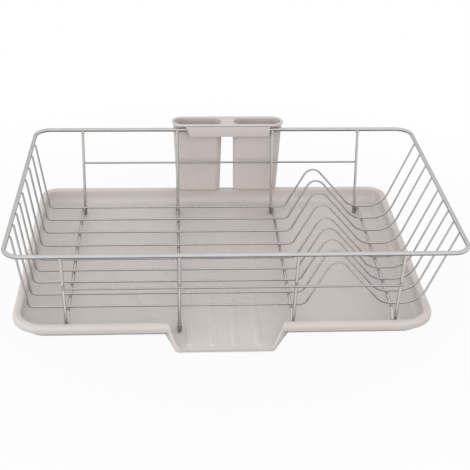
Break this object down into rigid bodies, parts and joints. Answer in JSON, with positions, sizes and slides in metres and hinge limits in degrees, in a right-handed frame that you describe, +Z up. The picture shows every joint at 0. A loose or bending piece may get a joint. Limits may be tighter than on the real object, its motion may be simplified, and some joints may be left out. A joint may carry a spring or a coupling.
{
  "type": "dish drainer",
  "caption": "Wire dish drainer basket with a hump that holds plates upright, standing in a drip tray with a spout, with a cutlery holder hooked on its back rim.",
  "frame": {"origin": "on the table, in the middle of the whole footprint (rim to rim in X, spout end to holder in Y)", "axes": "+Z up; +X along the basket's long side, towards the plate hump's end; -Y towards the front, where the tray's spout is"},
  "size_m": [0.4748, 0.3558, 0.1182],
  "materials": {
    "satin_chrome": "satin chrome plate on steel wire",
    "greige_plastic": "satin moulded, warm grey",
    "dark_cap": "soft dark grey-brown sleeve"
  },
  "bodies": {
    "tray": {"drain_tray": "greige_plastic"},
    "basket": {"rim_wire": "satin_chrome", "long_wire_1": "satin_chrome", "long_wire_2": "satin_chrome", "long_wire_3": "satin_chrome", "long_wire_4": "satin_chrome", "long_wire_5": "satin_chrome", "long_wire_6": "satin_chrome", "long_wire_7": "satin_chrome", "long_wire_8": "satin_chrome", "long_wire_9": "satin_chrome", "cross_wire_1": "satin_chrome", "cross_wire_2": "satin_chrome", "cross_wire_3": "satin_chrome", "cross_wire_4": "satin_chrome", "rail_back": "satin_chrome", "rail_front": "satin_chrome", "foot_cap_front_1": "dark_cap", "foot_cap_front_2": "dark_cap", "foot_cap_front_3": "dark_cap", "foot_cap_front_4": "dark_cap", "foot_cap_back_1": "dark_cap", "foot_cap_back_2": "dark_cap", "foot_cap_back_3": "dark_cap", "foot_cap_back_4": "dark_cap"},
    "holder": {"utensil_holder": "greige_plastic"}
  },
  "joints": [
    {"name": "basket_lift", "type": "slide", "parent": "tray", "child": "basket", "axis": [0, 0, 1], "range_m": [0, 0.15]},
    {"name": "holder_lift", "type": "slide", "parent": "basket", "child": "holder", "axis": [0, 0, 1], "range_m": [0, 0.12]}
  ]
}
